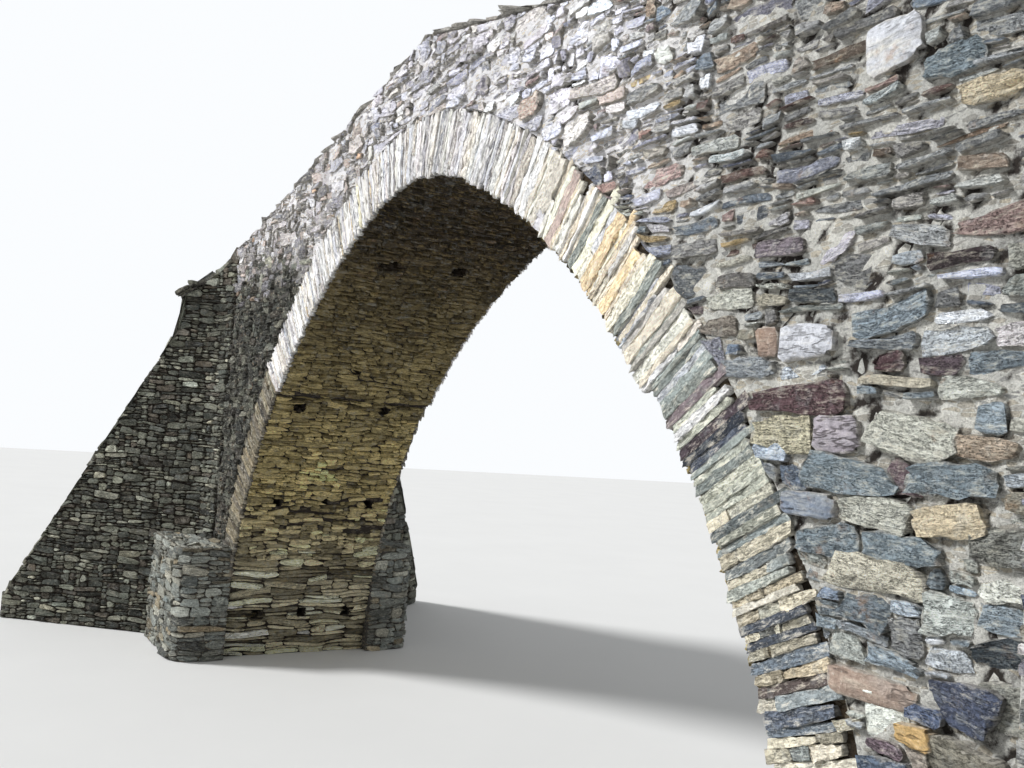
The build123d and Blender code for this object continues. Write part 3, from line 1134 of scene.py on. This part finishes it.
def vault_sizes(random, s, t):
    if abs(t) > FLAGS_ARC:
        tall = random.choice([0.05, 0.075, 0.105]) * random.uniform(0.85, 1.15)
        return tall, random.uniform(0.25, 0.8)
    return stone_size(random, "vault", 0.2)


def socket_arc(height):
    """Distance along the arch of a height on the vault's foot."""
    angle = math.acos((height + CENTRE_DROP) / (FLANK_RADIUS + RECESS))
    return CROWN_ARC + FLANK_RADIUS * (angle - TURN)


def vault_region(s, t):
    """Keeps stones between the ring's faces, above the ground and on one side of the ledge."""
    way = abs(t)
    above = way.mean(-1, keepdims=True) < STEP_ARC
    open_joint = STEP_ARC + 0.085 + 0.035 * swell(s, t, 51, 0.45)
    way = np.where(above, np.minimum(way, STEP_ARC - 0.004), np.maximum(way, open_joint))
    return np.clip(s, -FACE - 0.01, FACE + 0.01), np.sign(t) * np.minimum(way, FOOT_ARC + 0.03)


# Uneven holes: distance across, distance along the arch, half width and half height.
HOLES = ((-0.84, -5.27, 0.11, 0.08), (0.57, -5.22, 0.09, 0.09), (-0.20, -4.41, 0.08, 0.05),
         (-0.57, -2.13, 0.18, 0.10), (0.41, -1.99, 0.12, 0.11))


HALF_SOCKET = 0.082


def in_socket(s, t):
    inside = np.zeros(s.shape, bool)
    for row in SOCKET_ROWS:
        for middle in SOCKET_PLACES:
            away = np.maximum(abs(s - middle), abs(abs(t) - socket_arc(row)))
            inside |= away < HALF_SOCKET
    for middle, arc, half_width, half_height in HOLES:
        inside |= ((s - middle) / half_width) ** 2 + ((t - arc) / half_height) ** 2 < 1.1
    return inside


def vault_tints_and_painted_light(random, x, height):
    """Dark over the crown, from soot and painted shade, ochre on the flanks, and pale near the
    ground, from pale stone and painted light.
    """
    crown = np.array(tone(48, 38, 27))
    flank = np.array(tone(208, 190, 134))
    pale = np.array(tone(206, 197, 168))
    # The crown's near black is soot with painted shade; the pale near the ground is pale stone with
    # painted light, and varies more.
    high = (ramp(height, 3.0, 6.5) ** 0.9)[:, None]
    low = ramp(2.8 - height, 0, 1.6)[:, None]
    base = flank * (1 - high) + crown * high
    base = base * (1 - low) + pale * low
    base = base * (1 + 0.3 * swell(x, height, 41, 1.0))[:, None]
    # Darker stones under the ledge are painted shadow with dirt; by the upper sockets they are
    # painted shade of hollows.
    stain_and_shadow = (ramp(height, 2.0, 2.3) * ramp(2.9 - height, 0, 0.3)
               + ramp(height, 3.95, 4.25) * ramp(4.6 - height, 0, 0.2))
    dark = random.random((len(x), 1)) < (0.10 + 0.28 * stain_and_shadow)[:, None]
    base = np.where(dark, base * 0.4, base)
    uneven = random.normal(0, 1, (len(x), 1)).clip(-1.5, 2)
    return (base * (1 + (0.25 + 0.25 * low) * uneven)).clip(0.004, 0.9)


vault = Wall("vault_stones", 25)
cells = build_up(vault.random, -FACE, FACE, -FOOT_ARC, FOOT_ARC, vault_sizes)
across, arc = centres(cells)
_, height = arch_place(arc, 0)
fallen = ramp(height, 2.0, 2.2) * ramp(2.8 - height, 0, 0.2)
kept = (abs(abs(arc) - STEP_ARC) > 0.02) & (vault.random.random(len(arc)) > 0.2 * fallen)
cells, across, arc, height = cells[kept], across[kept], arc[kept], height[kept]
tints = vault_tints_and_painted_light(vault.random, across, height)
flags = abs(arc) > FLAGS_ARC
for models, part, joint in (([SMALL[0], MIDDLE[0], LONG[0]], flags, 0.016),
                            ([SMALL[0], SMALL[0], SMALL[1], MIDDLE[2]], ~flags, 0.004)):
    vault.lay(models, cells[part], underside, tints[part], (0.015, 0.06), joint, vault_region,
              turn=0.08, omit=in_socket)
vault.finish(vault_stone, "soffit_stone")

# %% [markdown]
# ## Shape of the wings
# A wing leaves the bridge's face in a cove and then runs straight out, and its top falls towards
# its end. The left ones are laid almost dry, in small dark slabs. One corner is worked out, and
# the other three are its mirror images with stones of their own.

# %% Shape of the wings
SPLAY = math.radians(50)
ALONG = np.array((math.cos(SPLAY), -math.sin(SPLAY), 0))
BEHIND = np.array((math.sin(SPLAY), math.cos(SPLAY), 0))
WING_START = np.array((CORNER, -FACE, 0))
CORNERS = (("front_left", -1, 1), ("front_right", 1, 1), ("back_left", -1, -1),
           ("back_right", 1, -1))
COVE = 0.9
LIP = 0.04                 # thickness at the thin start of the cove
COVE_ARC = COVE * SPLAY
WING_LENGTH = 3.4
WING_WIDTH = 0.65
HEAD = 1.17                # from the corner to the drop behind the wing's head
HEAD_TOP = road_line(CORNER) + PARAPET
HEAD_END = HEAD_TOP - 0.85
TAIL_TOP = HEAD_END - 0.55
TAIL_END = 0.35
COVE_MIDDLE = np.array((CORNER, -FACE - LIP - COVE, 0))
FRONT_END = COVE_MIDDLE + COVE * BEHIND + WING_LENGTH * ALONG
BACK_END = FRONT_END + WING_WIDTH * BEHIND
WING_REACH = (FRONT_END - WING_START) @ ALONG
WING_DEPTH = (FRONT_END - WING_START) @ BEHIND
print("wing ends", WING_REACH.round(3), "along and", WING_DEPTH.round(3), "behind the corner")


def wing_front(s, t, out):
    """The cove and the straight face, with s from the bridge outwards."""
    turn = np.minimum(s, COVE_ARC) / COVE
    beyond = np.maximum(s - COVE_ARC, 0)
    x = COVE_MIDDLE[0] + (COVE - out) * np.sin(turn) + beyond * ALONG[0]
    y = COVE_MIDDLE[1] + (COVE - out) * np.cos(turn) + beyond * ALONG[1]
    return np.stack([x, y, t + 0 * x], -1)


def wing_top(points):
    """Height of the wing over a point of its plan."""
    reach = (points - WING_START) @ ALONG
    head = HEAD_TOP + (HEAD_END - HEAD_TOP) * reach.clip(0) / HEAD
    tail = TAIL_TOP + (TAIL_END - TAIL_TOP) * (reach - HEAD) / (WING_REACH - HEAD)
    return np.where(reach < HEAD, head, tail)


def under_top(surface):
    """Keeps stones of a wing's side under its top line."""
    def region(s, t):
        return s, np.clip(t, 0, wing_top(surface(s, t, 0 * s)) - 0.01)

    return region


print("wing's top at the corner, the drop and the end:",
      np.round((HEAD_TOP, HEAD_END, TAIL_TOP, TAIL_END), 3).tolist())

# %% [markdown]
# ## Laying the wings
# A wing has six faces to cover: its curved front, its back, its end, the drop behind its head and
# the tops of head and tail. A helper builds up and lays one face, and serves the footings, the
# parapets and the road too.

# %% Laying the wings
SMALL_FACE = 0.02
slab_sizes, middling_sizes = sized("slabs"), sized("slabs", 1.5, 1.45)
coarse_sizes, broad_sizes = sized("coarse"), sized("coarse", 1.35, 1.3)


def cover(wall, surface, low_s, high_s, low_t, high_t, sizes, palette, region=None,
          proud=(0.02, 0.06), light=1.0, spread=0.3, joint=0.010):
    """Builds up one face of a wall and lays its stones."""
    cells = build_up(wall.random, low_s, high_s, low_t, high_t, sizes)
    tints = draw(wall.random, palette, len(cells), spread) * light
    area = (cells[:, 1] - cells[:, 0]) * (cells[:, 3] - cells[:, 2])
    for models, part in ((MIDDLE, area > SMALL_FACE), (SMALL, area <= SMALL_FACE)):
        if part.any():
            wall.lay(models, cells[part], surface, tints[part], proud, joint, region, wave=0.010)


def mirrored(surface, way_x, way_y):
    return lambda s, t, out: surface(s, t, out) * (way_x, way_y, 1)


def head_region(s, t):
    """Keeps the stones on a wing's head clear of the cove and of the bridge's face."""
    spot = WING_START + s[..., None] * ALONG + t[..., None] * BEHIND
    spot[..., 1] = spot[..., 1].clip(None, -FACE + 0.01)
    away = spot - COVE_MIDDLE
    reach = np.hypot(away[..., 0], away[..., 1])
    inside = (reach < COVE - 0.02) & (s < HEAD * 0.7)
    moved = COVE_MIDDLE + away * ((COVE - 0.02) / reach)[..., None]
    spot = np.where(inside[..., None], moved, spot)
    return ((spot - WING_START) @ ALONG).clip(None, HEAD + 0.01), (spot - WING_START) @ BEHIND


FALL = math.atan2(TAIL_TOP - TAIL_END, WING_REACH - HEAD)
SLOPE_LENGTH = math.hypot(TAIL_TOP - TAIL_END, WING_REACH - HEAD)
HEAD_FALL = math.atan2(HEAD_TOP - HEAD_END, HEAD)
DOWN = ALONG * math.cos(FALL) - np.array((0, 0, math.sin(FALL)))
HEAD_DOWN = ALONG - np.array((0, 0, math.tan(HEAD_FALL)))
DROP_FOOT = WING_START + HEAD * ALONG + WING_DEPTH * BEHIND + (0, 0, TAIL_TOP)
DEEP = WING_DEPTH + WING_WIDTH

for k, (side, way_x, way_y) in enumerate(CORNERS):
    wing = Wall(side + "_wing_stones", 40 + k, turned=way_x * way_y < 0)
    back = panel(BACK_END, -ALONG, (0, 0, 1))
    end = panel(FRONT_END, BEHIND, (0, 0, 1))
    drop = panel(DROP_FOOT, BEHIND, (0, 0, 1))
    tail = panel(DROP_FOOT, DOWN, BEHIND)
    head = panel(WING_START + (0, 0, HEAD_TOP), HEAD_DOWN, BEHIND)
    front_sizes = slab_sizes if side == "front_left" else middling_sizes
    faces = (
        (wing_front, COVE_ARC + WING_LENGTH, 0, HEAD_TOP, front_sizes, under_top(wing_front)),
        (back, WING_LENGTH, 0, HEAD_TOP, broad_sizes, under_top(back)),
        (end, WING_WIDTH, 0, TAIL_END, coarse_sizes, None),
        (drop, WING_WIDTH, 0, HEAD_END - TAIL_TOP, slab_sizes, None),
        (tail, SLOPE_LENGTH, 0, WING_WIDTH, coarse_sizes, None),
        (head, HEAD, -0.05, DEEP, coarse_sizes, head_region),
    )
    left = way_x < 0
    stones = DARK if left else NEAR + HIGH
    light, spread, joint = (1.3, 0.38, 0.015) if left else (1.0, 0.3, 0.010)
    for surface, high_s, low_t, high_t, sizes, region in faces:
        cover(wing, mirrored(surface, way_x, way_y), 0, high_s, low_t, high_t, sizes, stones,
              region, light=light, spread=spread, joint=joint)
    wing.finish(dry_stone if left else wall_stone, "wing_rubble")

# %% [markdown]
# ## Footings
# A squat block with a rounded nose fills each corner between the arch and its wing. The left ones
# are rougher and paler than their wings, with mortar washed over them.

# %% Footings
NOSE = (5.85, 6.10, 7.90)      # x where the block starts, where the nose ends and the block ends
NOSE_Y = (-1.80, -2.05)
LEG = -FACE - NOSE_Y[0]
NOSE_RADIUS = 0.25
BEND = NOSE_RADIUS * math.pi / 2
FOOTING_TOP = 1.8
FOOTING_GIRTH = 2.92       # once round its three sides
FOOTING_SIZE = (2.05, 0.8)


def footing_face(s, t, out):
    """The side towards the arch, the rounded nose, the long side and the short end."""
    turn = (s - LEG).clip(0, BEND) / NOSE_RADIUS
    side = (s - LEG - BEND).clip(0, NOSE[2] - NOSE[1])
    last = (s - LEG - BEND - (NOSE[2] - NOSE[1])).clip(0)
    reach = NOSE_RADIUS + out
    x = NOSE[1] - reach * np.cos(turn) + side + np.where(last > 0, out, 0)
    y = -FACE - np.minimum(s, LEG) - reach * np.sin(turn) + np.where(last > 0, last + out, 0)
    return np.stack([x, y, t + 0 * x], -1)


def nose_region(s, t):
    """Rounds the stones on top of a footing off at its nose."""
    away_s, away_t = s - NOSE_RADIUS, t - NOSE_RADIUS
    reach = np.hypot(away_s, away_t)
    beyond = (away_s < 0) & (away_t < 0) & (reach > NOSE_RADIUS)
    shrink = np.where(beyond, NOSE_RADIUS / np.maximum(reach, 0.01), 1)
    return NOSE_RADIUS + away_s * shrink, NOSE_RADIUS + away_t * shrink


for k, (side, way_x, way_y) in enumerate(CORNERS):
    footing = Wall(side + "_footing_stones", 50 + k, turned=way_x * way_y < 0)
    stones = WASHED if way_x < 0 else NEAR
    cover(footing, mirrored(footing_face, way_x, way_y), 0, FOOTING_GIRTH, 0, FOOTING_TOP,
          coarse_sizes, stones, lambda s, t: (s, t.clip(0, FOOTING_TOP)), spread=0.36)
    top = panel((NOSE[0], NOSE_Y[1], FOOTING_TOP), (1, 0, 0), (0, 1, 0))
    cover(footing, mirrored(top, way_x, way_y), 0, FOOTING_SIZE[0], 0, FOOTING_SIZE[1],
          coarse_sizes, stones, nose_region, (0.01, 0.03))
    footing.finish(washed_stone if way_x < 0 else wall_stone, "footing_stone")

# %% [markdown]
# ## Parapets inside and ends of the bridge
# The road side of the parapets and the two ends of the bridge are the same rubble.

# %% Parapets inside and ends
def inside_region(s, t):
    low = road_line(s)
    return s, np.clip(t, low, low + PARAPET - 0.01)


for name, way, seed in (("front_parapet_inside", 1, 60), ("back_parapet_inside", -1, 61)):
    inside = Wall(name, seed)
    surface = panel((0, -way * INNER, 0), (-way, 0, 0), (0, 0, 1))
    cover(inside, surface, -END, END, road_line(END), ROAD_TOP + PARAPET, coarse_sizes, HIGH,
          inside_region, (0.012, 0.04))
    inside.finish(wall_stone, "rubble")


def end_region(s, t):
    top = road_line(END) + np.where(abs(s) < INNER, 0, PARAPET) - 0.01
    return s, np.clip(t, 0, top)


for name, way, seed, palette in (("left_end_stones", -1, 62, DARK + FAR),
                                 ("right_end_stones", 1, 63, NEAR + FAR)):
    end = Wall(name, seed)
    surface = panel((way * END, 0, 0), (0, way, 0), (0, 0, 1))
    cover(end, surface, -FACE, FACE, 0, road_line(END) + PARAPET, broad_sizes, palette, end_region)
    end.finish(wall_stone, "rubble")

# %% [markdown]
# ## Paving
# The road is paved with flat stones, and a row of larger slabs lies across it at the crest.

# %% Paving
CREST = 0.46               # half the length of the crest's row, with its joint


def paving_sizes(random, s, t):
    wide = random.choice([0.12, 0.18, 0.26], p=[0.4, 0.4, 0.2])
    return wide * random.uniform(0.85, 1.15), wide * random.uniform(1.0, 2.0)


def road_surface(s, t, out):
    return np.stack([s, t + 0 * s, road_line(s) + out], -1)


def crest_sizes(random, s, t):
    return random.uniform(0.30, 0.62), random.uniform(0.26, 0.34)


road = Wall("road_stones", 70)
for low_s, high_s, sizes in ((-END, -CREST, paving_sizes), (-CREST, CREST, crest_sizes),
                             (CREST, END, paving_sizes)):
    cover(road, road_surface, low_s, high_s, -INNER, INNER, sizes, HIGH + NEAR,
          lambda s, t: (s, t.clip(-INNER - 0.01, INNER + 0.01)), (0.012, 0.03))
road.finish(wall_stone, "paving")

# %% [markdown]
# ## Coping
# Thin flat slabs with broken edges cap the parapets. They show from all sides, so they are modelled
# all round, from a cut-up block.

# %% Coping
def model_slab(cuts, shake, seed):
    """A flat slab with broken edges, from a block cut into small faces and shaken."""
    bpy.ops.object.select_all(action="DESELECT")
    bpy.ops.mesh.primitive_cube_add(size=2)
    slab = bpy.context.active_object
    edit_all()
    bpy.ops.mesh.subdivide(number_cuts=cuts)
    pick(slab, lambda p: abs(p.x) > 0.99 or abs(p.y) > 0.99)
    bpy.ops.transform.vertex_random(offset=shake, uniform=1, normal=0, seed=seed)
    pick(slab, lambda p: (abs(p.x) > 0.8) + (abs(p.y) > 0.8) + (abs(p.z) > 0.8) >= 2)
    bpy.ops.transform.resize(value=(0.97, 0.95, 0.80), center_override=(0, 0, 0))
    bpy.ops.mesh.select_all(action="SELECT")
    bpy.ops.transform.translate(value=(0, 0, 1))
    bpy.ops.transform.resize(value=(1, 1, 0.5), center_override=(0, 0, 0))
    points, quads = as_arrays(slab)
    rim_reading = (abs(points[:, :2]).max(1) > 0.85) * 0.7
    return {"points": points, "quads": quads, "rim": rim_reading}


SLABS = [model_slab(3, 0.12, 21), model_slab(3, 0.16, 22), model_slab(2, 0.14, 23)]


def coping_surface(s, t, out):
    return np.stack([s, t + 0 * s, road_line(s) + PARAPET + out], -1)


for name, way, seed in (("front", 1, 80), ("back", -1, 81)):
    coping = Wall(name + "_coping_slabs", seed)
    cells = []
    start = -END
    while start < END - 0.05:
        length = min(coping.random.uniform(0.22, 0.62), END - start)
        middle = -way * (FACE + INNER) / 2 + coping.random.normal(0, 0.012)
        wide = coping.random.uniform(0.165, 0.195)
        cells.append((start, start + length, middle - wide, middle + wide))
        start += length
    cells = np.array(cells)
    tints = draw(coping.random, HIGH, len(cells))
    coping.lay(SLABS, cells, coping_surface, tints, (0.05, 0.075), 0.008, tilt=0.004, turn=0.05,
               wave=0)
    piece = coping.finish(wall_stone, "coping_slabs")
    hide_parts(f"{name}_left_coping", f"{name}_right_coping")

# %% [markdown]
# ## Holes in the vault
# High on the left side of the vault some slabs have dropped out and left uneven holes. Each hole is
# a rough lump, set into a copy of the solid and cut out of it.

# %% Holes in the vault
LUMP = model_slab(3, 0.22, 31)


def cut_holes(name, holes):
    """A copy of a solid with each hole's lump cut out of it."""
    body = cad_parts[name].copy()
    body.data = body.data.copy()
    body.name = name + "_with_holes"
    bpy.context.scene.collection.objects.link(body)
    select_only(body)
    edit_all()
    bpy.ops.mesh.remove_doubles(threshold=0.0001)
    bpy.ops.object.mode_set(mode="OBJECT")
    for middle, arc, half_width, half_height in holes:
        u, v, w = LUMP["points"].T
        narrow = 1 - 0.35 * w
        mesh = bpy.data.meshes.new("lump")
        mesh.from_pydata(underside(middle + half_width * u * narrow,
                                   arc + half_height * v * narrow, 0.05 - 0.27 * w),
                         [], LUMP["quads"].tolist())
        lump = place_object("lump", mesh)
        select_only(lump)
        edit_all()
        bpy.ops.mesh.normals_make_consistent(inside=False)
        bpy.ops.object.mode_set(mode="OBJECT")
        bpy.context.view_layer.objects.active = body
        cut = body.modifiers.new("hole", "BOOLEAN")
        cut.operation = "DIFFERENCE"
        cut.object = lump
        bpy.ops.object.modifier_apply(modifier=cut.name)
        bpy.data.objects.remove(lump)
    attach(body, "root")
    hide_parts(name)
    print(body.name, len(body.data.polygons), "faces")
    return body


holed = [cut_holes("left_vault_haunch", HOLES[:2]), cut_holes("vault", HOLES[2:])]

# %% [markdown]
# ## Finishes of the solids that show between the stones
# Between and behind the stones the solids stay in view as mortar, as dark joints with painted shade
# in the open joints, sockets and holes, or as the road.

# %% Finishes of the solids
# The solids behind the vault, sockets, ring and left wings are near black: dark joints with painted
# shade in the deep gaps.
DARK_PARTS = ("vault", "socket", "ring", "left_wing")
dark_joint_and_shade = mortar_finish("dark_joint_and_shade", (72, 58, 40), (34, 28, 22), 0.2, 0.0)
for name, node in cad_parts.items():
    dark = any(part in name for part in DARK_PARTS)
    material = dark_joint_and_shade if dark else wall_mortar
    for slot in node.material_slots:
        slot.material = material
for body in holed:
    body.material_slots[0].material = dark_joint_and_shade
print("solids finished:", len(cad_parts))

# %% [markdown]
# ## Triangle count
# The number of triangles in the stones and mortar, and of pieces laid.

# %% Triangle count
print("stones and mortar:", sum(n for _, n in laid), "triangles in", len(laid), "pieces")
